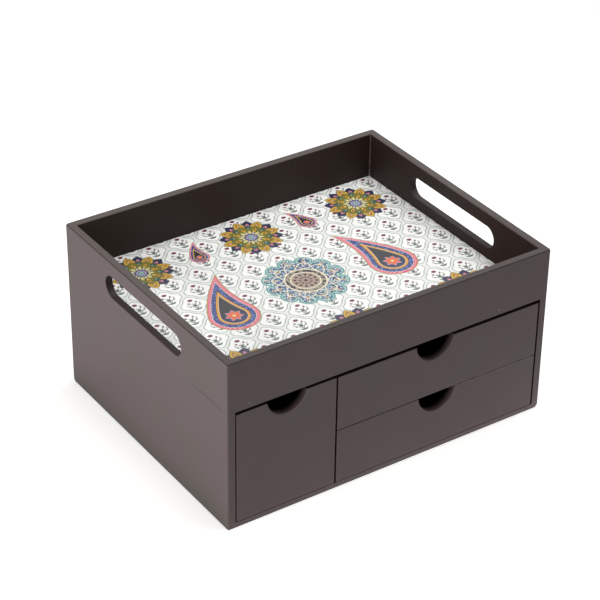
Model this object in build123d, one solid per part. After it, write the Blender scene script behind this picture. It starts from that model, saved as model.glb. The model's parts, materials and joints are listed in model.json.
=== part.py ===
"""Tray with drawers: an open tray with hand slots, fixed on a case of three drawers.

Millimetres. +Z is up, the drawers open towards -Y, and +X is to the right as seen from the
front. The origin is the centre of the bottom of the whole object.
"""
import math
import os

from build123d import *

# Overall size
width = 300.0
depth = 240.0
height = 150.0
tray_wall_height = 44.0

# Boards
wall_board = 6.6
base_board = 4.5
floor_board = 3.0
divider_board = 6.5
shelf_board = 4.0
front_board = 7.8
drawer_side_board = 5.0
drawer_rear_board = 5.0
drawer_bottom_board = 3.0
sheet_thickness = 0.3

# Where the drawer fronts part
left_front_width = 89.5
middle_gap = 1.4
left_side_gap = 1.1
right_side_gap = 1.4
under_gap = 0.3
split_gap = 0.4
left_top_gap = 2.9
right_top_gap = 3.2

# How the drawers run
run_clear = 0.3
side_clear = 1.0
stop_clear = 0.3
rear_clear = 2.0
head_clear = 1.0

# The bottom board of a drawer
bottom_lift = 2.0
groove_depth = 2.0
groove_clear = 0.15

# Half-round finger notches: how far each one's centre lies to the right of the middle of its
# front, and above its top
notch_radius = 18.0
left_notch_shift = 0.3
left_notch_rise = 3.1
upper_notch_shift = -5.4
upper_notch_rise = 1.4
lower_notch_shift = -1.3
lower_notch_rise = 1.3

# Hand slots in the tray's side walls, and how far each lies behind the middle of its wall
slot_length = 113.0
slot_height = 19.6
slot_drop = 12.45
left_slot_shift = 1.0
right_slot_shift = -1.1

# Softened edges
corner_round = 1.3
rim_round = 0.8
sole_round = 0.6
front_edge_round = 0.7
inner_edge_round = 0.5
slot_bevel = 0.35
notch_bevel = 0.6

# How far the sanding of a corner reaches: of a top one, a bottom one, and both at the front left
rim_corner_ease = 3.5
foot_corner_ease = 6.0
front_left_ease = 2.5

# The printed sheet's border to the tray walls
sheet_border = 0.4

# Brads: headless pins of square wire, driven in until filler covers them on the outer face
brad_length = 18.0
brad_wire = 1.2
brad_cover = 0.8
brad_inset = 19.0
corner_brad_inset = 5.0
drawer_brad_inset = 9.5

# For the modelling itself: how far a cut runs past a face, how near counts as at a place, and
# the largest share of a board that a softened edge takes
cut_past = 1.0
near = 0.01
edge_share = 0.45

# Places that follow from the sizes above
case_height = height - tray_wall_height
left_inner = -width / 2 + wall_board
right_inner = width / 2 - wall_board
front_inner = -depth / 2 + wall_board
rear_inner = depth / 2 - wall_board
front_face = -depth / 2
left_front_left = left_inner + left_side_gap
left_front_right = left_front_left + left_front_width
right_front_left = left_front_right + middle_gap
right_front_right = right_inner - right_side_gap
divider_centre = (left_front_right + right_front_left) / 2
divider_left = divider_centre - divider_board / 2
divider_right = divider_centre + divider_board / 2
stop_face = front_face + front_board + stop_clear
front_bottom = base_board + under_gap
left_front_top = case_height - left_top_gap
right_front_top = case_height - right_top_gap
right_front_height = (right_front_top - front_bottom - split_gap) / 2
lower_front_top = front_bottom + right_front_height
upper_front_bottom = lower_front_top + split_gap
shelf_centre = (lower_front_top + upper_front_bottom) / 2
shelf_bottom = shelf_centre - shelf_board / 2
shelf_top = shelf_centre + shelf_board / 2
side_drop = split_gap / 2 + shelf_board / 2 + head_clear
slot_centre_z = height - slot_drop - slot_height / 2
floor_top = case_height + floor_board

# The brads are gathered here by the body that they hold together
brads = {"tray": [], "case": [], "left_drawer": [], "upper_right_drawer": [], "lower_right_drawer": []}


def board(x_span, y_span, z_span):
    """A plain board between two places along each axis."""
    size = [span[1] - span[0] for span in (x_span, y_span, z_span)]
    middle = [(span[1] + span[0]) / 2 for span in (x_span, y_span, z_span)]
    return Pos(*middle) * Box(*size)


def limited(radius, thickness):
    """A radius or bevel that its board can take."""
    return min(radius, edge_share * thickness)


def edges_at(shape, along, places):
    """The straight edges of shape along one axis that pass through any of places.

    A place is two coordinates, on the other two axes in their order.
    """
    others = [n for n in range(3) if n != along]
    found = []
    for edge in shape.edges().filter_by((Axis.X, Axis.Y, Axis.Z)[along]):
        middle = tuple(edge.center())
        for place in places:
            if all(abs(middle[n] - p) < near for n, p in zip(others, place)):
                found.append(edge)
    return found


def pin(body, outer, axis, through, held):
    """Drives one brad at outer, a point on the outer face, along axis.

    It goes through the board named through, which keeps its outer skin, into the board named
    held. Both give way to it.
    """
    along = Vector(*axis)
    head = Vector(*outer) + along * brad_cover
    wire = Plane(origin=head, z_dir=along) * Rectangle(brad_wire, brad_wire)
    brad = extrude(wire, amount=brad_length)
    brads[body].append(brad)
    for name in (through, held):
        pieces[name] = pieces[name] - brad


def spread(low, high, inset, count):
    """Evenly spaced places, the outer ones inset from low and high."""
    step = (high - low - 2 * inset) / (count - 1)
    return [low + inset + step * n for n in range(count)]


def sanded_corner(side, end, corner_z, upwards, reach):
    """What sanding takes off an outer corner: a cube of it, less a ball that touches its edges.

    upwards is 1 where the board lies above corner_z, and -1 where it lies below.
    """
    corner = Vector(side * width / 2, end * depth / 2, corner_z)
    inwards = Vector(-side, -end, upwards)
    cube = Pos(*(corner + inwards * (reach / 2))) * Box(reach, reach, reach)
    ball = Pos(*(corner + inwards * reach)) * Sphere(math.sqrt(2) * reach)
    return cube - ball


def softened_outside():
    """The whole outside with the tray's hollow, its edges softened. The outer boards are cut from it."""
    outside = board((-width / 2, width / 2), (-depth / 2, depth / 2), (0, height))
    outside = fillet(outside.edges().filter_by(Axis.Z), limited(corner_round, wall_board))
    outside = outside - board((left_inner, right_inner), (front_inner, rear_inner), (case_height, height))
    outside = fillet(outside.faces().sort_by(Axis.Z)[-1].edges(), limited(rim_round, wall_board))
    outside = fillet(outside.faces().sort_by(Axis.Z)[0].edges(), limited(sole_round, base_board))
    for side in (-1, 1):
        for end in (-1, 1):
            for corner_z, upwards, ease in ((0, 1, foot_corner_ease), (height, -1, rim_corner_ease)):
                reach = front_left_ease if (side, end) == (-1, -1) else ease
                outside = outside - sanded_corner(side, end, corner_z, upwards, reach)
    return outside


def outer_board(x_span, y_span, z_span):
    """A board that lies in the outside, with the outside's softened edges."""
    return board(x_span, y_span, z_span) & outside


def tray_side(x_span, slot_shift):
    """A tray side wall with its hand slot, whose mouths are bevelled on both faces."""
    wall = outer_board(x_span, (-depth / 2, depth / 2), (case_height, height))
    middle = Pos(sum(x_span) / 2, slot_shift, slot_centre_z) * Rot(0, 90, 0)
    opening = extrude(middle * SlotOverall(slot_length, slot_height, rotation=90), wall_board, both=True)
    wall = wall - opening
    mouths = [
        edge
        for edge in wall.edges()
        if abs(edge.center().Z - slot_centre_z) <= slot_height / 2 + near
        and abs(edge.center().Y - slot_shift) < slot_length / 2 + near
        and any(abs(edge.center().X - x_face) < near for x_face in x_span)
    ]
    return chamfer(mouths, limited(slot_bevel, wall_board))


def eased_board(x_span, y_span, z_span, along, places):
    """An inner board with the edges at places along one axis eased by its paint."""
    plain = board(x_span, y_span, z_span)
    thinnest = min(span[1] - span[0] for span in (x_span, y_span, z_span))
    return fillet(edges_at(plain, along, places), limited(inner_edge_round, thinnest))


def drawer_front(x_span, z_span, notch_place):
    """A drawer front with its half-round finger notch and softened front edges."""
    rear_face = front_face + front_board
    front = board(x_span, (front_face, rear_face), z_span)
    notch_x = sum(x_span) / 2 + notch_place[0]
    notch_z = z_span[1] + notch_place[1]
    tool_face = Plane(origin=(notch_x, front_face - cut_past, notch_z), z_dir=(0, 1, 0))
    tool = extrude(tool_face * Circle(notch_radius), amount=front_board + 2 * cut_past)
    front = front - tool
    outer = front.faces().sort_by(Axis.Y)[0]
    front = fillet(outer.edges(), limited(front_edge_round, front_board))
    inner_arc = [
        edge
        for edge in front.edges().filter_by(GeomType.CIRCLE)
        if abs(edge.center().Y - rear_face) < near and abs(edge.radius - notch_radius) < near
    ]
    return chamfer(inner_arc, limited(notch_bevel, front_board))


def drawer(name, x_span, z_span, inner_x, inner_bottom, notch_place):
    """One drawer: front, two sides, rear and bottom, with the bottom in grooves.

    x_span and z_span bound the front. inner_x is the compartment's width and inner_bottom what
    the drawer runs on. notch_place is the notch's centre, from the middle of the front's top.
    """
    box_left = inner_x[0] + side_clear
    box_right = inner_x[1] - side_clear
    box_bottom = inner_bottom + run_clear
    box_top = z_span[1] - side_drop
    box_front = front_face + front_board
    box_rear = rear_inner - rear_clear
    inner_left = box_left + drawer_side_board
    inner_right = box_right - drawer_side_board
    bottom_low = box_bottom + bottom_lift
    bottom_high = bottom_low + drawer_bottom_board
    groove_z = (bottom_low - groove_clear, bottom_high + groove_clear)
    groove_x = (inner_left - groove_depth, inner_right + groove_depth)
    side_y = (box_front, box_rear)
    rear_y = (box_rear - drawer_rear_board, box_rear)
    groove = board(groove_x, (box_front - groove_depth, box_rear + cut_past), groove_z)
    tongue_x = (groove_x[0] + groove_clear, groove_x[1] - groove_clear)
    tongue_y = (box_front - groove_depth + groove_clear, box_rear)
    pieces[name + "_front"] = drawer_front(x_span, z_span, notch_place) - groove
    for side, side_x in (("_left_side", (box_left, inner_left)), ("_right_side", (inner_right, box_right))):
        top_edges = [(x_place, box_top) for x_place in side_x]
        pieces[name + side] = eased_board(side_x, side_y, (box_bottom, box_top), 1, top_edges) - groove
    top_edges = [(y_place, box_top) for y_place in rear_y]
    rear_x = (inner_left, inner_right)
    pieces[name + "_rear"] = eased_board(rear_x, rear_y, (bottom_high, box_top), 0, top_edges)
    pieces[name + "_bottom"] = board(tongue_x, tongue_y, (bottom_low, bottom_high))
    y_place = sum(rear_y) / 2
    for z_place in spread(bottom_high, box_top, drawer_brad_inset, 2):
        pin(name, (box_left, y_place, z_place), (1, 0, 0), name + "_left_side", name + "_rear")
        pin(name, (box_right, y_place, z_place), (-1, 0, 0), name + "_right_side", name + "_rear")
    for x_place in spread(inner_left, inner_right, brad_inset, 2):
        pin(name, (x_place, y_place, bottom_low), (0, 0, 1), name + "_bottom", name + "_rear")


pieces = {}
outside = softened_outside()
whole_y = (front_face, depth / 2)
between_x = (left_inner, right_inner)
front_wall_y = (front_face, front_inner)
rear_wall_y = (rear_inner, depth / 2)
left_wall_x = (-width / 2, left_inner)
right_wall_x = (right_inner, width / 2)

# The tray
pieces["tray_left_wall"] = tray_side(left_wall_x, left_slot_shift)
pieces["tray_right_wall"] = tray_side(right_wall_x, right_slot_shift)
pieces["tray_front_wall"] = outer_board(between_x, front_wall_y, (case_height, height))
pieces["tray_rear_wall"] = outer_board(between_x, rear_wall_y, (case_height, height))
pieces["tray_floor"] = board(between_x, (front_inner, rear_inner), (case_height, floor_top))
sheet_x = (left_inner + sheet_border, right_inner - sheet_border)
sheet_y = (front_inner + sheet_border, rear_inner - sheet_border)
pieces["printed_sheet"] = board(sheet_x, sheet_y, (floor_top, floor_top + sheet_thickness))

# The case
pieces["case_left_side"] = outer_board(left_wall_x, whole_y, (0, case_height))
pieces["case_right_side"] = outer_board(right_wall_x, whole_y, (0, case_height))
pieces["case_base"] = outer_board(between_x, whole_y, (0, base_board))
pieces["case_rear_panel"] = outer_board(between_x, rear_wall_y, (base_board, case_height))
inner_y = (stop_face, rear_inner)
divider_x = (divider_left, divider_right)
shelf_z = (shelf_bottom, shelf_top)
divider_edges = [(x_place, stop_face) for x_place in divider_x]
shelf_edges = [(stop_face, z_place) for z_place in shelf_z]
pieces["case_divider"] = eased_board(divider_x, inner_y, (base_board, case_height), 2, divider_edges)
pieces["drawer_shelf"] = eased_board((divider_right, right_inner), inner_y, shelf_z, 0, shelf_edges)

# The drawers
left_span = (left_front_left, left_front_right)
right_span = (right_front_left, right_front_right)
left_inside = (left_inner, divider_left)
right_inside = (divider_right, right_inner)
left_heights = (front_bottom, left_front_top)
upper_heights = (upper_front_bottom, right_front_top)
lower_heights = (front_bottom, lower_front_top)
left_notch = (left_notch_shift, left_notch_rise)
upper_notch = (upper_notch_shift, upper_notch_rise)
lower_notch = (lower_notch_shift, lower_notch_rise)
drawer("left_drawer", left_span, left_heights, left_inside, base_board, left_notch)
drawer("upper_right_drawer", right_span, upper_heights, right_inside, shelf_top, upper_notch)
drawer("lower_right_drawer", right_span, lower_heights, right_inside, base_board, lower_notch)

# Brads of the tray: side walls into the ends of the front and rear walls, all walls into the floor
floor_z = case_height + floor_board / 2
for side, name in ((-1, "tray_left_wall"), (1, "tray_right_wall")):
    x_face = side * width / 2
    inwards = (-side, 0, 0)
    for end, end_name in ((-1, "tray_front_wall"), (1, "tray_rear_wall")):
        y_place = end * (depth - wall_board) / 2
        for z_place in spread(case_height, height, corner_brad_inset, 2):
            pin("tray", (x_face, y_place, z_place), inwards, name, end_name)
    for y_place in spread(front_inner, rear_inner, brad_inset, 3):
        pin("tray", (x_face, y_place, floor_z), inwards, name, "tray_floor")
for end, name in ((-1, "tray_front_wall"), (1, "tray_rear_wall")):
    for x_place in spread(left_inner, right_inner, brad_inset, 4):
        pin("tray", (x_place, end * depth / 2, floor_z), (0, -end, 0), name, "tray_floor")

# Brads of the case: sides into the rear panel and the shelf, base up into the divider and panel
for side, name in ((-1, "case_left_side"), (1, "case_right_side")):
    x_face = side * width / 2
    y_place = depth / 2 - wall_board / 2
    for z_place in spread(base_board, case_height, brad_inset, 3):
        pin("case", (x_face, y_place, z_place), (-side, 0, 0), name, "case_rear_panel")
for y_place in spread(stop_face, rear_inner, brad_inset, 3):
    pin("case", (width / 2, y_place, shelf_centre), (-1, 0, 0), "case_right_side", "drawer_shelf")
    pin("case", (divider_centre, y_place, 0), (0, 0, 1), "case_base", "case_divider")
for x_place in spread(left_inner, right_inner, brad_inset, 3):
    pin("case", (x_place, depth / 2 - wall_board / 2, 0), (0, 0, 1), "case_base", "case_rear_panel")

for body, pins in brads.items():
    pieces[body + "_brads"] = Compound(children=pins)

os.makedirs("parts", exist_ok=True)
for name, shape in pieces.items():
    shape.label = name
    export_step(shape, os.path.join("parts", name + ".step"))
    print(name, round(shape.volume, 1))
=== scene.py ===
import json
import math

import bpy
import numpy as np
from mathutils import Matrix, Vector


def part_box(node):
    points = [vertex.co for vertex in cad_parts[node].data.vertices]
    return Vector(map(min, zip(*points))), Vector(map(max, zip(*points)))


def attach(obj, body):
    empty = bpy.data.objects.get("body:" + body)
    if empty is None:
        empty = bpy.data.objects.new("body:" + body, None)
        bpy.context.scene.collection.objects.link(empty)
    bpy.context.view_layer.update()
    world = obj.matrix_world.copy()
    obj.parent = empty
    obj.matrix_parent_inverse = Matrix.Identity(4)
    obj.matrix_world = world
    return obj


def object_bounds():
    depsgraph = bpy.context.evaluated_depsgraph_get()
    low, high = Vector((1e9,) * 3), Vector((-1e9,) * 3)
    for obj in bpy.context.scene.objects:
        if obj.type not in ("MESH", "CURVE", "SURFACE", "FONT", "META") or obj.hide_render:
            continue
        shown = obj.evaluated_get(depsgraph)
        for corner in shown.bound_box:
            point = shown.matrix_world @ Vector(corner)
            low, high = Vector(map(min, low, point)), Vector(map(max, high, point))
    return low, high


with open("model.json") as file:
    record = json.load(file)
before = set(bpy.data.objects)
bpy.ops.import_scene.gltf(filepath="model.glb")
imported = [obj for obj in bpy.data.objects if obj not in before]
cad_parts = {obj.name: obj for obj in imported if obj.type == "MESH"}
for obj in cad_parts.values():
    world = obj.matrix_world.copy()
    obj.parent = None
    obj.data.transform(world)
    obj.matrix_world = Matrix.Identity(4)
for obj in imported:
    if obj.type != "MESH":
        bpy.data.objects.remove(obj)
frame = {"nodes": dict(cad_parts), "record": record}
cadBox = [list(corner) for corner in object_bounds()]
print("frame loaded,", len(frame["nodes"]), "pieces")


def shade(red, green, blue):
    # a screen colour, 0 to 255, as the linear colour that Blender's sockets take
    parts = [part / 255 for part in (red, green, blue)]
    return [part / 12.92 if part <= 0.04045 else ((part + 0.055) / 1.055) ** 2.4 for part in parts] + [1.0]


class Wire:
    # one output of a node; arithmetic on it adds Math nodes to the same tree
    def __init__(self, tree, socket):
        self.tree = tree
        self.socket = socket

    def maths(self, operation, *values, clamp=False):
        return self.tree.node("ShaderNodeMath", {"operation": operation, "use_clamp": clamp}, values)

    def __add__(self, other):
        return self.maths("ADD", self, other)

    def __radd__(self, other):
        return self.maths("ADD", other, self)

    def __sub__(self, other):
        return self.maths("SUBTRACT", self, other)

    def __rsub__(self, other):
        return self.maths("SUBTRACT", other, self)

    def __mul__(self, other):
        return self.maths("MULTIPLY", self, other)

    def __rmul__(self, other):
        return self.maths("MULTIPLY", other, self)

    def __truediv__(self, other):
        return self.maths("DIVIDE", self, other)

    def __rtruediv__(self, other):
        return self.maths("DIVIDE", other, self)

    def __pow__(self, other):
        return self.maths("POWER", self, other)

    def __abs__(self):
        return self.maths("ABSOLUTE", self)

    def __lt__(self, other):
        return self.maths("LESS_THAN", self, other)

    def __gt__(self, other):
        return self.maths("GREATER_THAN", self, other)

    def least(self, other):
        return self.maths("MINIMUM", self, other)

    def most(self, other):
        return self.maths("MAXIMUM", self, other)

    def fold(self, half):  # a triangle wave from 0 to half
        return self.maths("PINGPONG", self, half)

    def repeat(self, half):  # wrapped into -half to half
        return self.maths("WRAP", self, half, -half)

    def cos(self):
        return self.maths("COSINE", self)

    def sin(self):
        return self.maths("SINE", self)

    def edge(self, width):  # 0 below zero and 1 above it, soft over width
        return self.maths("MULTIPLY_ADD", self, 1 / width, 0.5, clamp=True)

    def output(self, name):
        return Wire(self.tree, self.socket.node.outputs[name])


class Tree:
    # a node tree in which every node comes from node()
    def __init__(self, tree):
        self.tree = tree
        tree.nodes.clear()

    def node(self, kind, settings=None, inputs=(), output=0):
        made = self.tree.nodes.new(kind)
        for name, value in (settings or {}).items():
            setattr(made, name, value)
        named = inputs.items() if isinstance(inputs, dict) else enumerate(inputs)
        for key, value in named:
            if isinstance(value, Wire):
                self.tree.links.new(value.socket, made.inputs[key])
            else:
                made.inputs[key].default_value = value
        return Wire(self, made.outputs[output]) if len(made.outputs) else None

    def place(self):  # the object's own coordinates in millimetres: the vector, x, y and z
        point = self.node("ShaderNodeTexCoord", output="Object")
        scaled = self.node("ShaderNodeVectorMath", {"operation": "SCALE"}, {0: point, "Scale": 1000.0})
        split = self.node("ShaderNodeSeparateXYZ", inputs=[scaled])
        return scaled, split, split.output("Y"), split.output("Z")

    def flat(self, across, along):  # a point of the plane, with 1 as its third part
        return self.node("ShaderNodeCombineXYZ", inputs=[across, along, 1.0])

    def dot(self, point, weights):
        return self.node("ShaderNodeVectorMath", {"operation": "DOT_PRODUCT"}, [point, weights], "Value")

    def noise(self, point, size, detail=2.0, roughness=0.5):  # size is the width of one patch in mm
        values = {"Vector": point, "Scale": 1 / size, "Detail": detail, "Roughness": roughness}
        return self.node("ShaderNodeTexNoise", inputs=values)

    def colours(self, share, first, second):  # first where share is 0, second where it is 1
        return self.node("ShaderNodeMix", {"data_type": "RGBA"}, {0: share, 6: first, 7: second}, 2)

    def numbers(self, share, first, second):  # the same for numbers
        return self.node("ShaderNodeMix", {"data_type": "FLOAT"}, {0: share, 2: first, 3: second}, 0)

    def lit(self, colour, light):  # the colour times a number
        return self.node("ShaderNodeVectorMath", {"operation": "SCALE"}, {0: colour, "Scale": light})

    def stretched(self, point, share):  # a pattern that is 1 / share times as long from front to rear
        return self.node("ShaderNodeMapping", inputs={"Vector": point, "Scale": (1.0, share, 1.0)})

    def bump(self, height, distance, strength=1.0, normal=None):
        values = {"Height": height, "Distance": distance, "Strength": strength}
        if normal is not None:
            values["Normal"] = normal
        return self.node("ShaderNodeBump", inputs=values)

    def finish(self, values):
        self.node("ShaderNodeOutputMaterial", inputs=[self.node("ShaderNodeBsdfPrincipled", inputs=values)])


def material(name):
    made = bpy.data.materials.new(name)
    made.use_nodes = True
    return made, Tree(made.node_tree)


def wear(name, finish):  # puts finish on a CAD node
    data = frame["nodes"][name].data
    data.materials.clear()
    data.materials.append(finish)


# The boards: brown satin paint outside; inside the tray and the case a darker, duller colour that is
# painted shade.
# Sizes are in mm, and "soft" is the width over which one look turns into the next
lowest, highest = (Vector(corner) * 1000 for corner in cadBox)
paint = {
    "outside": (86, 76, 74),
    "redder": (89, 74, 75),  # the tint that drifts over the outer coat
    # the inside colour is painted shade: the brown paint darkened in the tray, the case, the slots, the
    # notches and the gaps
    "inside": (33, 21, 16),
    "outsideRough": 0.42,
    "insideRough": 0.55,
    "specular": 0.26,
    "markDepth": 1.0,  # a mark on an outer face lies within this depth
    "tint": {"size": 45.0, "soft": 0.35},
    "cloud": {"size": 60.0, "lighter": 0.12, "rougher": 0.14},
    "grain": {"size": 1.4, "lighter": 0.05, "height": 0.014, "strength": 0.8},
    "wave": {"size": 40.0, "height": 0.06, "strength": 0.6},
    # how far the outer coat wraps round the softened edges of a side, and of the rim
    "wrap": {"side": 0.45, "rim": 0.9, "soft": 0.4, "rimSoft": 0.6},
    # painted shade on the rim: a little darker than the sides, and darker still from this y, further back
    # the more it lies to the right
    "rim": {"rear": (82, 73, 70), "front": (70, 62, 60), "turn": -70.0, "lean": 0.15, "soft": 90.0},
    # painted shade on the left face near the table: darker and greyer, a painted reflection of the floor's
    # shadow
    "foot": {"colour": (70, 70, 63), "high": 20.0, "share": 0.7},
    # painted shade on the inner face of the tray's right wall: darker, and redder and duller from this y,
    # in place of a dark reflection
    "rightWall": {
        "rear": (25, 14, 10),
        "front": (26, 6, 1),
        "turn": -30.0,
        "soft": 80.0,
        "rougher": 0.35,
        "depth": 7.0,
    },
    # painted light on the lower cut face of the right hand slot, which faces the light above: its colour,
    # its height and how far up the round ends it reaches
    "slotFloor": {"colour": (62, 56, 54), "height": 117.95, "up": 3.0, "soft": 5.0, "depth": 5.8},
    # between these depths behind the front the outer coat fades into the inner painted shade, in the finger
    # notches, but not near the ends of the drawer fronts, nor over their tops, apart from the face itself
    "notchShading": {"from": 0.5, "to": 6.5, "fromEnds": 2.0, "underTop": 0.3, "face": 0.5},
    # bare and rubbed places, which are rarer with each mm away from an edge
    "rubbed": {
        "colour": (128, 116, 110),
        "size": 7.0,
        "from": 0.60,
        "fade": 0.10,
        "soft": 0.05,
        "share": 0.45,
    },
    # specks of filler on the front: across, up and half the width of each
    "filler": {
        "specks": [(-130.9, 109.9, 0.55), (101.0, 110.3, 0.50), (112.6, 113.9, 0.25)],
        "uneven": 1.2,
        "soft": 0.5,
        "share": 0.8,
    },
    "dust": {
        "colour": (168, 160, 152),
        "spacing": 22.0,
        "size": 0.32,
        "soft": 0.008,
        "missing": 0.4,  # the share of the cells that hold no mote
        "share": 0.5,
        "height": 2.0,
    },
    # the filled seam on the left face, from the front to the rear
    "seam": {
        "height": 106.0,
        "from": -115.0,
        "fromSoft": 8.0,
        "to": -70.0,
        "toSoft": 14.0,
        "halfWidth": 0.42,
        "soft": 0.3,
        "uneven": 0.5,
        "dark": 0.55,
        "deep": 4.0,
    },
    # along the softened top and bottom edges the colour turns darker and rougher, in a dark line
    "edges": {"width": 0.75, "soft": 0.35, "dark": 0.50, "rougher": 0.5},
    # painted light on the front face: the base's edge is lighter, and so is the line over it, against the
    # groove's shade
    "frontDepth": 1.2,
    "baseEdge": {"lighter": 0.12, "soft": 0.3},
    "baseLine": {"lighter": 0.22, "above": 0.4, "halfWidth": 0.9, "soft": 0.5},
    # to the right of this x the line between the right fronts is lighter, in patches: painted light against
    # the groove's shade
    "bridge": {
        "from": 60.0,
        "fromSoft": 20.0,
        "lighter": 0.65,
        "halfWidth": 1.1,
        "soft": 0.5,
        "patches": 0.60,
        "patchSoft": 0.1,
    },
}


def frontMasks(x, z, toEnd, gapRoof):
    # notched is 1 over the left and the upper right front, short of their ends; the second is the outer
    # coat's share,
    # 1 at the face and fading with the depth behind it into the inner painted shade, in the notches
    notchShading = paint["notchShading"]
    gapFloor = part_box("upper_right_drawer_front")[1][2] * 1000
    notched = 0.0
    for name in ("left_drawer_front", "upper_right_drawer_front"):
        low, high = (corner[0] * 1000 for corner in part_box(name))
        notched = (abs(x - (low + high) / 2) < (high - low) / 2 - notchShading["fromEnds"]).most(notched)
    notchLitShare = ((notchShading["from"] + notchShading["to"]) / 2 - toEnd).edge(notchShading["to"] - notchShading["from"])
    notchLitShare = notchLitShare * (z < gapFloor - notchShading["underTop"]).most(toEnd < notchShading["face"]) * (z < gapRoof)
    return notched, notchLitShare * notched


def outerCoat(tree, point, x, y, z, toTop):
    # the coat with its drifting tint, then the rim's painted shade, then the painted shade at the foot of
    # the left face
    tint, rim, foot, wrap = (paint[name] for name in ("tint", "rim", "foot", "wrap"))
    drift = (tree.noise(point, tint["size"], 1.0) - 0.5).edge(tint["soft"])
    coat = tree.colours(drift, shade(*paint["outside"]), shade(*paint["redder"]))
    towardsFront = (rim["turn"] - y + x * rim["lean"]).edge(rim["soft"])
    rimShade = tree.colours(towardsFront, shade(*rim["rear"]), shade(*rim["front"]))
    onRim = (wrap["rim"] - toTop).edge(wrap["rimSoft"]) * (z > highest.z / 2)
    coat = tree.colours(onRim, coat, rimShade)
    footShade = (1 - z / foot["high"]).most(0.0) * (x < paint["markDepth"] - highest.x) * foot["share"]
    return tree.colours(footShade, coat, shade(*foot["colour"]))


def innerShadeCoat(tree, x, y, z, toSide, gapRoof):
    # the inner painted shade, then the right wall's darker painted shade, then the painted light on the
    # slot's lower face; also where the wall is duller
    wall, slot = paint["rightWall"], paint["slotFloor"]
    onWall = (x > highest.x - wall["depth"]) * (z > gapRoof)
    inner = tree.colours(onWall, shade(*paint["inside"]), shade(*wall["rear"]))
    wallFront = onWall * (wall["turn"] - y).edge(wall["soft"])
    inner = tree.colours(wallFront, inner, shade(*wall["front"]))
    onSlot = onWall * (toSide < slot["depth"]) * (slot["height"] + slot["up"] - z).edge(slot["soft"])
    return tree.colours(onSlot, inner, shade(*slot["colour"])), wallFront


def lighterLines(x, y, z, toEnd, notched, scuffs):
    # painted light: the base's edge, the line over it, and part of the line between the right fronts
    base, line, bridge = (paint[name] for name in ("baseEdge", "baseLine", "bridge"))
    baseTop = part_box("case_base")[1][2] * 1000
    split = (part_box("lower_right_drawer_front")[1][2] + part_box("upper_right_drawer_front")[0][2]) * 500
    onBase = (baseTop - z).edge(base["soft"]) * base["lighter"]
    onLine = (line["halfWidth"] - abs(z - baseTop - line["above"])).edge(line["soft"]) * line["lighter"]
    bridgeLight = (bridge["halfWidth"] - abs(z - split)).edge(bridge["soft"])
    bridgeLight = bridgeLight * (x - bridge["from"]).edge(bridge["fromSoft"])
    bridgeLight = bridgeLight * (bridge["patches"] - scuffs).edge(bridge["patchSoft"])
    lighter = onBase + onLine + bridgeLight * notched * bridge["lighter"]
    return lighter * (toEnd < paint["frontDepth"]) * (y < 0.0)


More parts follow.
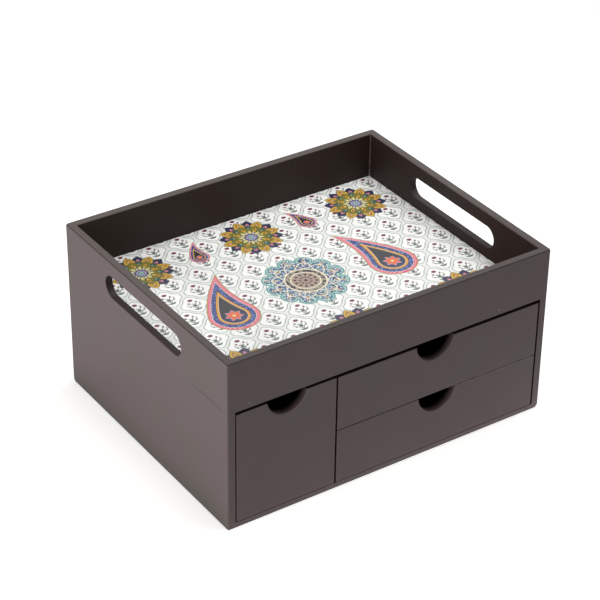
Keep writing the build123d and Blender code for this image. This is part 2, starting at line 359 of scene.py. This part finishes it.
def paintedBoard():
    made, tree = material("brownPaint")
    point, x, y, z = tree.place()
    toSide = highest.x - abs(x)
    toEnd = highest.y - abs(y)
    toTop = (highest.z - z).least(z)
    toWall = toSide.least(toEnd)
    wrap = paint["wrap"]
    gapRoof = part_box("tray_front_wall")[0][2] * 1000
    notched, notchLitShare = frontMasks(x, z, toEnd, gapRoof)
    # outside is the outer coat's share; everywhere else the inner colour is painted shade
    outside = (wrap["side"] - toWall).edge(wrap["soft"]).most((wrap["rim"] - toTop).edge(wrap["soft"]))
    outside = outside.most(notchLitShare)
    inner, wallFront = innerShadeCoat(tree, x, y, z, toSide, gapRoof)
    colour = tree.colours(outside, inner, outerCoat(tree, point, x, y, z, toTop))

    # bare and rubbed places along the edges, where a second outer face is near
    rub = paint["rubbed"]
    toEdge = toWall.most(toSide.most(toEnd).least(toTop))
    scuffs = tree.noise(point, rub["size"], 4.0, 0.7)
    rubbed = (scuffs - rub["from"] - toEdge * rub["fade"]).edge(rub["soft"]) * outside
    colour = tree.colours(rubbed * rub["share"], colour, shade(*rub["colour"]))

    # filler specks above the drawers, and dust in the paint
    filler, dust, fine = (paint[name] for name in ("filler", "dust", "grain"))
    grain = tree.noise(point, fine["size"], 2.0, 0.6)
    specks = 0.0
    for across, up, half in filler["specks"]:
        reach = ((x - across) ** 2.0 + (z - up) ** 2.0) ** 0.5 + (grain - 0.5) * filler["uneven"]
        specks = (half - reach).edge(filler["soft"]).most(specks)
    specks = specks * (y < paint["markDepth"] - highest.y)
    motes = tree.node("ShaderNodeTexVoronoi", inputs={"Vector": point, "Scale": 1 / dust["spacing"]})
    chance = tree.node("ShaderNodeSeparateColor", inputs=[motes.output("Color")])
    mote = (dust["size"] / dust["spacing"] * chance - motes).edge(dust["soft"])
    mote = mote * (chance.output("Green") > dust["missing"])
    dusty = (specks * filler["share"]).most(mote * dust["share"])
    colour = tree.colours(dusty, colour, shade(*dust["colour"]))

    # the filled seam between the tray and the case, and the dark line on the softened edges
    seam, edges = paint["seam"], paint["edges"]
    alongSeam = (y - seam["from"]).edge(seam["fromSoft"]) * (seam["to"] - y).edge(seam["toSoft"])
    offSeam = abs(z - seam["height"] + (scuffs - 0.5) * seam["uneven"])
    seamLine = (seam["halfWidth"] - offSeam).edge(seam["soft"])
    seamLine = seamLine * alongSeam * (x < paint["markDepth"] - highest.x) * seam["dark"]
    edgeLine = (edges["width"] - toTop).edge(edges["soft"]) * (edges["width"] - toWall).edge(edges["soft"])
    edgeLine = edgeLine * (scuffs + 0.5) * edges["dark"]
    # painted light on the base's edge and on the lines between the fronts
    paintedLight = lighterLines(x, y, z, toEnd, notched, scuffs)
    cloud = tree.noise(point, paint["cloud"]["size"], 3.0) - 0.5
    light = 1 + cloud * paint["cloud"]["lighter"] + (grain - 0.5) * fine["lighter"]
    light = light + paintedLight - seamLine - edgeLine
    insideRough = wallFront * paint["rightWall"]["rougher"] + paint["insideRough"]
    rough = tree.numbers(outside, insideRough, paint["outsideRough"])
    rough = rough + cloud * paint["cloud"]["rougher"] + edgeLine * edges["rougher"]
    wave = paint["wave"]
    swell = tree.bump(tree.noise(point, wave["size"], 1.0), wave["height"] / 1000, wave["strength"])
    relief = grain + mote * dust["height"] + specks - seamLine * seam["deep"]
    values = {
        "Base Color": tree.lit(colour, light),
        "Roughness": rough,
        "Normal": tree.bump(relief, fine["height"] / 1000, fine["strength"], swell),
        "Specular IOR Level": paint["specular"],
    }
    tree.finish(values)
    return made


# The boards of the drawers: fibreboard under a thin coat put on with a roller. Sizes are in mm
drawerBoard = {
    "coat": (46, 38, 34),
    "bare": (92, 74, 58),
    "bareShare": 0.42,  # how far the bare board shows where the coat is thin
    "thinFrom": 0.70,
    "thinSoft": 0.16,
    "rough": 0.66,
    "rougher": 0.2,
    "specular": 0.4,
    "fibreLength": 9.0,
    "fibreWidth": 0.7,
    "rollerWidth": 14.0,
    "rollerShare": 0.05,  # a roller streak's width as a share of its length
    "light": (0.82, 0.36),  # the darkest streak, and how much is added for the lightest
    "height": 0.05,
}


def rolledBoard():
    made, tree = material("rolledBoard")
    point = tree.place()[0]
    stretch = drawerBoard["fibreWidth"] / drawerBoard["fibreLength"]
    grain = tree.stretched(point, stretch)
    fibres = tree.noise(grain, drawerBoard["fibreWidth"], 3.0, 0.65)
    streaks = tree.stretched(point, drawerBoard["rollerShare"])
    roller = tree.noise(streaks, drawerBoard["rollerWidth"], 2.0)
    thin = (fibres * 0.6 + roller * 0.6 - drawerBoard["thinFrom"]).edge(drawerBoard["thinSoft"])
    bareShare = thin * drawerBoard["bareShare"]
    colour = tree.colours(bareShare, shade(*drawerBoard["coat"]), shade(*drawerBoard["bare"]))
    darkest, more = drawerBoard["light"]
    values = {
        "Base Color": tree.lit(colour, darkest + roller * more),
        "Roughness": drawerBoard["rough"] + (fibres - 0.5) * drawerBoard["rougher"],
        "Normal": tree.bump(fibres * 0.7 + roller * 0.3, drawerBoard["height"] / 1000, 0.8),
        "Specular IOR Level": drawerBoard["specular"],
    }
    tree.finish(values)
    return made


brownPaint = paintedBoard()
thinCoat = rolledBoard()
bodies = frame["record"]["behaviour"]["bodies"]
for name in frame["nodes"]:
    inDrawer = name not in bodies["case"] and not name.endswith("_front")
    wear(name, thinCoat if inDrawer else brownPaint)
print("boards done")


# The beads that the paint has left in the tray's inner corners. Sizes are in mm
bead = {
    "radius": 0.85,
    "swell": 0.16,  # how much it swells and thins on its way up, as a share
    "waves": [(0.55, 0.0), (1.27, 1.0)],  # the sines of that swell: radians for each mm, and the start
    "footWider": 1.3,  # how much wider it is at its foot, as a share
    "footTall": 3.5,
    "belowRim": 1.0,  # how far below the rim it ends
    "endShare": 0.35,  # how wide it is at that end, as a share of its full width
    "endLength": 3.0,  # each such length further down adds one full width, up to the full one
    "sink": 0.05,  # how far it reaches into the walls behind it
    "rings": 64,
    "arcPoints": 8,
    "colour": (70, 60, 57),
    "thin": (40, 30, 27),
    "thinSoft": 0.25,
    "dusty": (0.68, 0.04),  # from where in the patches it holds dust, and how soft that is
    "patch": 2.6,
    "rough": 0.5,
    "rougher": 0.3,
    "height": 0.08,
}


def paintBeads():
    # a cove: a section's sides lie along both walls and a hollow quarter circle of radius r joins
    # their ends; r = radius * (1 + footWider * e^(-rise / footTall) + swell * slow sines of the rise),
    # less towards the top end
    low, high = (Vector(corner) * 1000 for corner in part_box("tray_front_wall"))
    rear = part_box("tray_rear_wall")[0][1] * 1000
    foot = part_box("printed_sheet")[1][2] * 1000
    rise = np.linspace(0.0, high.z - bead["belowRim"] - foot, bead["rings"])
    slow = sum(np.sin(rise * pace + start) for pace, start in bead["waves"])
    wider = bead["footWider"] * np.exp(-rise / bead["footTall"])
    radius = bead["radius"] * (1 + wider + bead["swell"] * slow)
    taper = np.minimum(1.0, bead["endShare"] + (rise[-1] - rise) / bead["endLength"])
    radius = (radius * taper)[:, None]
    angle = np.linspace(0.0, math.pi / 2, bead["arcPoints"])[None, :]
    sunk = np.full_like(radius, -bead["sink"])
    across = np.hstack((sunk, radius, radius * (1 - np.sin(angle)), sunk))
    along = np.hstack((sunk, sunk, radius * (1 - np.cos(angle)), radius))
    rings, count = across.shape
    height = np.broadcast_to(foot + rise[:, None], across.shape)
    index = np.arange(rings * count).reshape(rings, count)
    after = np.roll(index, -1, axis=1)
    walls = np.stack((index[:-1], after[:-1], after[1:], index[1:]), axis=-1).reshape(-1, 4)
    faces = walls.tolist() + [index[0][::-1].tolist(), index[-1].tolist()]
    points, corners = [], []
    for x, inX in ((low.x, 1), (high.x, -1)):
        for y, inY in ((high.y, 1), (rear, -1)):
            start = len(points) * rings * count
            corner = np.stack((x + inX * across, y + inY * along, height), axis=-1)
            points.append(corner.reshape(-1, 3) / 1000)
            corners += [[start + number for number in face[::inX * inY]] for face in faces]
    mesh = bpy.data.meshes.new("paintBeads")
    mesh.from_pydata(np.concatenate(points).tolist(), [], corners)
    made = bpy.data.objects.new("paintBeads", mesh)
    bpy.context.scene.collection.objects.link(made)
    mesh.materials.append(beadPaint())
    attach(made, "case")


def beadPaint():
    made, tree = material("beadPaint")
    point = tree.place()[0]
    thin = tree.noise(point, bead["patch"], 3.0, 0.6)
    colour = tree.colours((thin - 0.5).edge(bead["thinSoft"]), shade(*bead["colour"]), shade(*bead["thin"]))
    dustFrom, dustSoft = bead["dusty"]
    colour = tree.colours((thin - dustFrom).edge(dustSoft), colour, shade(*paint["dust"]["colour"]))
    values = {
        "Base Color": colour,
        "Roughness": bead["rough"] + (thin - 0.5) * bead["rougher"],
        "Normal": tree.bump(thin, bead["height"] / 1000, 0.8),
    }
    tree.finish(values)
    return made


paintBeads()
print("beads done")


# The printed sheet: a lattice of ogee cells with a sprig in each, and larger ornaments over it.
# Sizes are in mm, from the middle of the sheet. A petal is its centre, its half length and half
# width, and its turn in degrees
inkSoft = 0.3  # how soft the outlines of the print are
roundSoft = 0.4  # and those of its round spots
lattice = {
    "cellWide": 26.8,
    "cellHigh": 34.4,
    "step": 0.05,  # how strongly a cell's side steps halfway up, as a share of its swing
    "bandHalf": 1.15,  # half the width of the band between two cells, where it slants
    "bandWider": 0.85,  # and how much more it is where it stands upright
    "lineHalf": 0.35,
}
sprig = {
    "leaves": [
        ((0.0, -2.2), (5.6, 0.32), 90),
        ((0.0, -1.4), (2.3, 1.6), 90),
        ((1.5, 0.4), (1.4, 0.55), 62),
        ((2.0, -2.6), (1.5, 0.55), 35),
        ((4.3, -1.5), (1.5, 0.8), 62),
        ((5.2, 1.0), (0.9, 0.6), 80),
        ((1.0, -4.6), (1.2, 0.45), 60),
        ((0.9, -7.0), (2.0, 1.15), 10),
        ((2.7, -6.2), (1.3, 0.55), 30),
    ],
    "buds": [((3.2, 2.9), (1.25, 0.95), 60)],
    "tips": [((3.9, 4.3), (0.6, 0.5), 40), ((5.8, -0.4), (0.6, 0.45), 30)],
    "heads": [((0.9, 6.3), (1.7, 1.0), 50), ((0.0, 6.8), (1.9, 1.3), 90), ((1.0, 7.1), (1.3, 0.8), 20)],
    "tipShare": 0.5,
    "leafShadow": (0.5, 0.85),  # how far inside a leaf its dark middle begins, and how strong it is
    "headLight": (0.8, 0.3),  # the same for the light middle of a flower
}
rosette = {
    "across": 105.0,
    "along": 80.0,
    "petals": 8,
    "soft": 0.14,
    "outline": (0.16, 0.12),  # how far round a petal its dark line reaches, and how soft it is
    "secondLine": (0.48, 0.09, 0.1, 0.7),  # where inside it runs, half its width, how soft, how strong
    # from the outermost to the heart: which row of petals, how far out, half length and half width, the
    # ink, and whether it has dark lines; a disc has only a radius
    "rings": [
        ("between", 17.2, (9.2, 5.4), "navy", True),
        ("between", 19.4, (3.0, 1.5), "bud", False),
        ("between", 19.0, (1.0, 0.6), "navy", False),
        ("tips", 18.2, (8.2, 4.6), "gold", True),
        ("tips", 20.2, (3.4, 1.0), "amber", False),
        ("tips", 20.4, (1.0, 0.5), "cream", False),
        ("between", 12.2, (6.6, 4.4), "green", True),
        ("between", 13.0, (2.6, 1.1), "mint", False),
        ("between", 13.0, (1.1, 0.5), "flower", False),
        ("tips", 11.8, (6.6, 4.4), "olive", True),
        ("tips", 12.4, (3.2, 1.5), "gold", False),
        ("tips", 12.8, (1.3, 0.7), "flower", False),
        ("tips", 9.4, (0.9, 0.7), "straw", False),
        ("between", 9.6, (0.9, 0.7), "gold", False),
        ("between", 7.4, (3.6, 1.7), "straw", True),
        ("tips", 6.8, (2.6, 1.5), "navy", False),
        ("tips", 7.0, (1.6, 0.9), "cream", False),
        ("disc", 0.0, 5.6, "navy", False),
        ("tips", 3.7, (1.5, 0.9), "sky", False),
        ("between", 3.6, (1.3, 0.6), "bud", False),
        ("disc", 0.0, 2.0, "mint", False),
        ("disc", 0.0, 0.8, "green", False),
    ],
}
roundel = {
    "shrink": 0.87,  # the plane is drawn smaller by this, so that the roundel comes out larger
    "scallops": 12,
    "radius": 25.5,
    "scallop": (5.6, 6.6),
    "rims": (0.9, 1.5),  # how far inside the outline the mint line and the field begin
    "fleckScale": 0.52,
    "fleck": (0.36, 0.12, 0.8),  # half the width of a pale fleck in its cell, how soft and how strong
    "blueShare": 0.45,  # the share of the cells that are blue; the others are teal
    "navyFrom": 0.72,  # a second draw for each cell; above this it is navy instead
    "stoneShare": 0.5,
    "eyeMiddle": 0.5,
    "weaveAt": 19.4,
    "weaveSway": 4.2,
    "weaveHalf": 0.55,
    "eyes": [((21.6, 0.0), (2.1, 1.2)), ((26.5, 0.0), (2.0, 1.1))],
    "inner": 14.8,
    "middle": 10.6,
    "middleHalf": 0.5,
    "dots": ((7.6, 0.0), (1.2, 1.2)),
    "rays": ((4.2, 0.0), (1.5, 0.6)),
    "heart": 1.5,
}
paisley = {
    "round": 21.0,  # the drop's radius
    "tall": 60.0,  # from the circle's centre to the tip
    "bend": 20.0,  # how far the tip leans
    "largeAt": (76.0, -13.0),
    "smallAt": (52.5, 76.0),
    "smallShare": 0.40,
    "smallFrom": 50.0,  # the drops are small when they are further than this along the sheet
    "fleckScale": 0.48,
    "fleck": (0.34, 0.16),  # half the width of a fleck of the lace in its cell, and how soft it is
    "beadGap": 1.9,
    "beadDepth": 2.1,
    "beadHalf": 0.6,
    "heartFade": (0.03, 0.35),  # how the heart turns from indigo to night for each mm, and at its centre
    "orangeShare": 0.7,  # of the way from coral to gold
    # the bands from the outline inwards: how deep each begins, and its ink or pattern
    "bands": [
        (0.0, "outline"),
        (0.35, "gold"),
        (0.9, "beaded"),
        (3.3, "cream"),
        (3.8, "lace"),
        (7.6, "night"),
        (8.0, "orange"),
        (9.9, "cream"),
        (10.3, "heart"),
    ],
    "petals": 7,
    "petal": ((3.9, 0.0), (3.6, 1.7)),
    "petalSoft": 0.2,
    "petalRim": 0.3,
    "flowerHeart": 1.4,
}
sheetFinish = {
    "rough": 0.36,
    "rougher": 0.08,
    "tonerSize": 0.8,
    "light": (0.985, 0.03),  # the thinnest toner, and how much is added for the thickest
    "waveSize": 30.0,
    "height": 0.06,
    "film": 0.25,
    "filmRough": 0.2,
}
inks = {
    "ground": (254, 254, 251),
    "band": (238, 240, 236),
    "line": (160, 167, 160),
    "leaf": (130, 138, 130),
    "shadowLeaf": (60, 68, 64),
    "outline": (62, 70, 66),
    "flower": (98, 10, 38),
    "mauve": (122, 98, 104),
    "bud": (214, 138, 152),
    "gold": (216, 172, 66),
    "amber": (176, 104, 50),
    "olive": (134, 126, 50),
    "straw": (232, 224, 150),
    "green": (66, 98, 84),
    "navy": (42, 40, 82),
    "sky": (122, 172, 214),
    "mint": (170, 214, 190),
    "teal": (84, 142, 152),
    "blue": (78, 94, 148),
    "cream": (238, 226, 198),
    "stone": (166, 156, 140),
    "pink": (226, 74, 132),
    "coral": (230, 112, 74),
    "indigo": (62, 66, 128),
    "night": (44, 44, 50),
}
ink = {name: shade(*colour) for name, colour in inks.items()}


def petal(tree, point, centre, size, turn=0.0, pointed=True):
    # 1 in the middle and 0 on the outline: 1 - along^2 - |across| if pointed, else 1 - along^2 - across^2
    cosine, sine = math.cos(math.radians(turn)), math.sin(math.radians(turn))
    ahead = centre[0] * cosine + centre[1] * sine
    aside = centre[1] * cosine - centre[0] * sine
    along = tree.dot(point, (cosine / size[0], sine / size[0], -ahead / size[0]))
    across = tree.dot(point, (-sine / size[1], cosine / size[1], -aside / size[1]))
    width = abs(across) if pointed else across * across
    return 1 - (along * along + width)


def petals(tree, point, shapes, pointed=True):
    # several petals as one shape: the highest of their values
    whole = petal(tree, point, *shapes[0], pointed=pointed)
    for shape in shapes[1:]:
        whole = whole.most(petal(tree, point, *shape, pointed=pointed))
    return whole


def sectors(tree, across, along, count, turn=0.0):
    # folds the plane about its centre into one of count sectors, mirrored about the sector's middle
    angle = tree.node("ShaderNodeMath", {"operation": "ARCTAN2"}, [along, across])
    angle = (angle + math.radians(turn)).fold(math.pi / count)
    reach = (across * across + along * along) ** 0.5
    return reach, tree.flat(reach * angle.cos(), reach * angle.sin())


def sprigs(tree, x, y, colour):
    # a cell's half width is (1 + cos(t) + step * (cos(3t) - cos(5t))) * wide / 4, where t is a full turn
    # for the cell's height, so its sides are ogee curves with a step halfway
    wide, high, step = (lattice[name] for name in ("cellWide", "cellHigh", "step"))
    phase = y * (2 * math.pi / high)
    swing = phase.cos()
    half = (swing + 1 + ((phase * 3.0).cos() - (phase * 5.0).cos()) * step) * (wide / 4)
    slope = phase.sin() + ((phase * 3.0).sin() * 3.0 - (phase * 5.0).sin() * 5.0) * step
    slope = slope * (math.pi * wide / high / 2)
    away = (x.fold(wide / 2) - half) * (slope * slope + 1) ** -0.5
    bandHalf = swing * swing * lattice["bandWider"] + lattice["bandHalf"]
    colour = tree.colours((bandHalf - abs(away)).edge(inkSoft), colour, ink["band"])
    lines = (lattice["lineHalf"] - abs(abs(away) - bandHalf)).edge(inkSoft)
    colour = tree.colours(lines, colour, ink["line"])

    # every second row is half a cell across and along, and a sprig is the same on both sides
    other = away > 0.0
    across = (x - other * (wide / 2)).repeat(wide / 2)
    along = (y - other * (high / 2)).repeat(high / 2)
    point = tree.flat(abs(across), along)
    leaves = petals(tree, point, sprig["leaves"])
    middle, share = sprig["leafShadow"]
    colour = tree.colours(leaves.edge(inkSoft), colour, ink["leaf"])
    colour = tree.colours((leaves - middle).edge(inkSoft) * share, colour, ink["shadowLeaf"])
    buds = petals(tree, point, sprig["buds"], False)
    colour = tree.colours(buds.edge(roundSoft), colour, ink["mauve"])
    tips = petals(tree, point, sprig["tips"], False)
    colour = tree.colours(tips.edge(roundSoft) * sprig["tipShare"], colour, ink["bud"])
    heads = petals(tree, point, sprig["heads"])
    middle, share = sprig["headLight"]
    colour = tree.colours(heads.edge(inkSoft), colour, ink["flower"])
    return tree.colours((heads - middle).edge(inkSoft) * share, colour, ink["bud"])


def rosettes(tree, x, y, colour):
    # rings of pointed petals; an outlined one gets a dark line round it and a second one inside
    across = abs(x)
    across = across - (across > rosette["across"] / 2) * rosette["across"]
    along = abs(y) - rosette["along"]
    count = rosette["petals"]
    reach, tips = sectors(tree, across, along, count)
    rows = {"tips": tips, "between": sectors(tree, across, along, count, 180 / count)[1]}
    outlineOut, outlineSoft = rosette["outline"]
    secondAt, secondHalf, secondSoft, secondShare = rosette["secondLine"]
    for row, out, size, name, outlined in rosette["rings"]:
        shape = 1 - reach / size if row == "disc" else petal(tree, rows[row], (out, 0.0), size)
        if outlined:
            colour = tree.colours((shape + outlineOut).edge(outlineSoft), colour, ink["outline"])
        colour = tree.colours(shape.edge(rosette["soft"]), colour, ink[name])
        if outlined:
            second = (secondHalf - abs(shape - secondAt)).edge(secondSoft) * secondShare
            colour = tree.colours(second, colour, ink["outline"])
    return colour


def medallion(tree, point, x, y, colour):
    # a round of scallops, with two cream lines that weave and a plain middle
    reach, sector = sectors(tree, x, y, roundel["scallops"])
    angle = tree.node("ShaderNodeMath", {"operation": "ARCTAN2"}, [y, x])
    sway = (angle * (roundel["scallops"] / 2)).cos() * roundel["weaveSway"]
    rim = petal(tree, sector, (roundel["radius"], 0.0), roundel["scallop"], 0, False)
    body = (roundel["radius"] - reach).most(rim * 3)
    flecks = tree.node("ShaderNodeTexVoronoi", inputs={"Vector": point, "Scale": roundel["fleckScale"]})
    chance = tree.node("ShaderNodeSeparateColor", inputs=[flecks.output("Color")])
    fleckHalf, fleckSoft, fleckShare = roundel["fleck"]
    field = tree.colours(chance > roundel["blueShare"], ink["blue"], ink["teal"])
    field = tree.colours(chance.output("Green") > roundel["navyFrom"], field, ink["navy"])
    field = tree.colours((fleckHalf - flecks).edge(fleckSoft) * fleckShare, field, ink["ground"])
    mint, blue = roundel["rims"]
    colour = tree.colours(body.edge(inkSoft), colour, ink["teal"])
    colour = tree.colours((body - mint).edge(inkSoft), colour, ink["mint"])
    colour = tree.colours((body - blue).edge(inkSoft), colour, field)
    eyes = petals(tree, sector, roundel["eyes"])
    colour = tree.colours(eyes.edge(inkSoft), colour, ink["cream"])
    colour = tree.colours((eyes - roundel["eyeMiddle"]).edge(inkSoft), colour, ink["flower"])
    inner = tree.colours(chance > roundel["stoneShare"], ink["stone"], ink["night"])
    colour = tree.colours((roundel["inner"] - reach).edge(inkSoft), colour, inner)
    fromWeave = reach - roundel["weaveAt"]
    weave = abs(fromWeave - sway).least(abs(fromWeave + sway)).least(abs(reach - roundel["inner"]))
    colour = tree.colours((roundel["weaveHalf"] - weave).edge(inkSoft), colour, ink["cream"])
    colour = tree.colours((roundel["middle"] - reach).edge(inkSoft), colour, ink["stone"])
    dots = petal(tree, sector, *roundel["dots"], pointed=False).most(petal(tree, sector, *roundel["rays"]))
    dots = dots.most(1 - reach / roundel["heart"])
    colour = tree.colours(dots.edge(roundSoft), colour, ink["flower"])
    ring = (roundel["middleHalf"] - abs(reach - roundel["middle"])).edge(inkSoft)
    return tree.colours(ring, colour, ink["cream"])


def paisleys(tree, point, x, y, colour):
    # a drop is a circle with two tangents to a tip, in a plane that is sheared along a parabola
    small = abs(y) > paisley["smallFrom"]
    share = 1 / paisley["smallShare"]
    slope = paisley["round"] / paisley["tall"]
    upright = math.sqrt(1 - slope * slope)
    (largeX, largeY), (smallX, smallY) = paisley["largeAt"], paisley["smallAt"]
    across = tree.numbers(small, abs(x) - largeX, (abs(x) - smallX) * share)
    along = tree.numbers(small, y - largeY, (abs(y) - smallY) * share)
    rise = along.most(0.0) / paisley["tall"]
    across = across + rise * rise * paisley["bend"]
    flat = tree.flat(abs(across), along)
    reach, core = sectors(tree, across, along, paisley["petals"])
    beyond = tree.dot(flat, (-slope, upright, 0.0)) > 0.0
    straight = paisley["round"] - tree.dot(flat, (upright, slope, 0.0))
    inward = tree.numbers(beyond, paisley["round"] - reach, straight)

    flecks = tree.node("ShaderNodeTexVoronoi", inputs={"Vector": point, "Scale": paisley["fleckScale"]})
    fromBead = abs(along.fold(paisley["beadGap"]) - paisley["beadGap"] / 2)
    beads = (paisley["beadHalf"] - fromBead - abs(inward - paisley["beadDepth"])).edge(roundSoft)
    fleckHalf, fleckSoft = paisley["fleck"]
    perMm, atCentre = paisley["heartFade"]
    fills = {
        **ink,
        "beaded": tree.colours(beads, ink["pink"], ink["cream"]),
        "lace": tree.colours((fleckHalf - flecks).edge(fleckSoft), ink["indigo"], ink["sky"]),
        "orange": tree.colours(paisley["orangeShare"], ink["coral"], ink["gold"]),
        "heart": tree.colours((along * perMm + atCentre).edge(1.0), ink["indigo"], ink["night"]),
    }
    for depth, fill in paisley["bands"]:
        colour = tree.colours((inward - depth).edge(inkSoft), colour, fills[fill])
    flower = petal(tree, core, *paisley["petal"])
    colour = tree.colours((flower + paisley["petalRim"]).edge(paisley["petalSoft"]), colour, ink["sky"])
    colour = tree.colours(flower.edge(paisley["petalSoft"]), colour, ink["coral"])
    return tree.colours((paisley["flowerHeart"] - reach).edge(inkSoft), colour, ink["straw"])


def printedSheet():
    made, tree = material("printedSheet")
    point, x, y = tree.place()[:3]
    colour = sprigs(tree, x, y, ink["ground"])
    colour = paisleys(tree, point, x, y, colour)
    colour = rosettes(tree, x, y, colour)
    colour = medallion(tree, point, x * roundel["shrink"], y * roundel["shrink"], colour)
    toner = tree.noise(point, sheetFinish["tonerSize"], 2.0)
    wave = tree.noise(point, sheetFinish["waveSize"], 1.0)
    darkest, more = sheetFinish["light"]
    values = {
        "Base Color": tree.lit(colour, darkest + toner * more),
        "Roughness": sheetFinish["rough"] + toner * sheetFinish["rougher"],
        "Normal": tree.bump(wave, sheetFinish["height"] / 1000),
        "Coat Weight": sheetFinish["film"],
        "Coat Roughness": sheetFinish["filmRough"],
    }
    tree.finish(values)
    return made


wear("printed_sheet", printedSheet())
print("print done")


# The brads, inside the boards
wire = {"colour": (150, 150, 152), "rough": 0.25, "rougher": 0.2, "drawn": 0.4}


def steelWire():
    made, tree = material("brightWire")
    drawn = tree.noise(tree.place()[0], wire["drawn"], 2.0)
    rough = drawn * wire["rougher"] + wire["rough"]
    tree.finish({"Base Color": shade(*wire["colour"]), "Metallic": 1.0, "Roughness": rough})
    return made


brightWire = steelWire()
for name in frame["nodes"]:
    if name.endswith("_brads"):
        wear(name, brightWire)
print("brads done")


# The camera, at the photograph's viewing angle
view = {
    "lens": 128.35,
    "place": (-0.82554, -1.19589, 1.00666),
    "yaw": 34.445,
    "pitch": 32.228,
    "roll": 0.873,
    "sensor": 36.0,
}


def aimCamera():
    yaw, pitch, roll = (math.radians(view[name]) for name in ("yaw", "pitch", "roll"))
    ahead = Vector((math.sin(yaw) * math.cos(pitch), math.cos(yaw) * math.cos(pitch), -math.sin(pitch)))
    level = Vector((math.cos(yaw), -math.sin(yaw), 0.0))
    upright = level.cross(ahead)
    right = level * math.cos(roll) + upright * math.sin(roll)
    up = upright * math.cos(roll) - level * math.sin(roll)
    turn = Matrix((right, up, -ahead)).transposed().to_4x4()
    data = bpy.data.cameras.new("camera")
    data.lens = view["lens"]
    data.sensor_width = view["sensor"]
    camera = bpy.data.objects.new("camera", data)
    camera.matrix_world = Matrix.Translation(view["place"]) @ turn
    bpy.context.scene.collection.objects.link(camera)
    bpy.context.scene.camera = camera


aimCamera()
print("camera done")


# The studio: a white floor that keeps the shadow, a pale world, and soft lamps
studio = {
    "floorHalf": 9.0,
    "floorBounce": 0.75,
    "floorMirror": 0.95,
    "floorShade": (0.99, 0.99, 0.96),  # the share of the lamps' red, green and blue that the floor shows
    "floorGlow": 0.40,
    "whiteFrom": 0.3,  # between these distances in m the floor turns into the white backdrop
    "whiteTo": 0.9,
    "frontGlow": 1.1,  # the table's brighter strip before the object, which lights its front from below
    "frontReach": 100.0,  # how far the strip reaches, in mm
    "frontLean": 0.002,  # how much stronger it is for each mm to the right
    "ambient": 0.07,
    "lamps": {
        "leftSoftbox": {"place": (-1.7, -0.25, 0.40), "size": 1.2, "power": 34.0},
        "topSoftbox": {"place": (0.3, -0.05, 1.5), "size": 1.2, "power": 20.0},
    },
}


def studioFloor():
    half = studio["floorHalf"]
    mesh = bpy.data.meshes.new("studioFloor")
    corners = [(-half, -half, 0), (half, -half, 0), (half, half, 0), (-half, half, 0)]
    mesh.from_pydata(corners, [], [(0, 1, 2, 3)])
    floor = bpy.data.objects.new("studioFloor", mesh)
    bpy.context.scene.collection.objects.link(floor)
    made, tree = material("studioFloor")
    path = tree.node("ShaderNodeLightPath")
    camera = path.output("Is Camera Ray")
    mirror = path.output("Is Glossy Ray").most(path.output("Is Transmission Ray"))
    x, y = tree.place()[1:3]
    away = (x * x + y * y) ** 0.5 * 0.001
    near, far = studio["whiteFrom"], studio["whiteTo"]
    white = (away - (near + far) / 2).edge(far - near)
    bounce = tree.numbers(mirror, studio["floorBounce"], studio["floorMirror"])
    parts = [tree.numbers(camera, bounce, (1 - white) * part) for part in studio["floorShade"]]
    diffuse = tree.node("ShaderNodeBsdfDiffuse", inputs=[tree.node("ShaderNodeCombineColor", inputs=parts)])
    ahead = lowest.y - y
    strip = (ahead > 0.0) * (1 - ahead / studio["frontReach"]).most(0.0) * path.output("Is Diffuse Ray")
    strip = strip * (x * studio["frontLean"] + 1).most(0.0) * studio["frontGlow"]
    glow = tree.numbers(camera, strip, tree.numbers(white, studio["floorGlow"], 1.0))
    glow = tree.node("ShaderNodeEmission", inputs={"Strength": glow})
    tree.node("ShaderNodeOutputMaterial", inputs=[tree.node("ShaderNodeAddShader", inputs=[diffuse, glow])])
    mesh.materials.append(made)


def studioWorld():
    world = bpy.data.worlds.new("studioWorld")
    world.use_nodes = True
    tree = Tree(world.node_tree)
    path = tree.node("ShaderNodeLightPath")
    mirror = path.output("Is Glossy Ray").most(path.output("Is Transmission Ray"))
    seen = path.output("Is Camera Ray").most(mirror)
    strength = tree.numbers(seen, studio["ambient"], 1.0)
    back = tree.node("ShaderNodeBackground", inputs={"Color": (1, 1, 1, 1), "Strength": strength})
    tree.node("ShaderNodeOutputWorld", inputs=[back])
    bpy.context.scene.world = world


def softbox(name, place, size, power):  # a square lamp that faces the middle of the object
    data = bpy.data.lights.new(name, "AREA")
    data.shape = "SQUARE"
    data.size = size
    data.energy = power
    lamp = bpy.data.objects.new(name, data)
    towards = Vector((0, 0, highest.z / 2000)) - Vector(place)
    turn = towards.to_track_quat("-Z", "Y").to_matrix().to_4x4()
    lamp.matrix_world = Matrix.Translation(place) @ turn
    bpy.context.scene.collection.objects.link(lamp)


studioFloor()
studioWorld()
for name, lamp in studio["lamps"].items():
    softbox(name, lamp["place"], lamp["size"], lamp["power"])
bpy.context.scene.view_settings.view_transform = "Standard"
print("studio done")
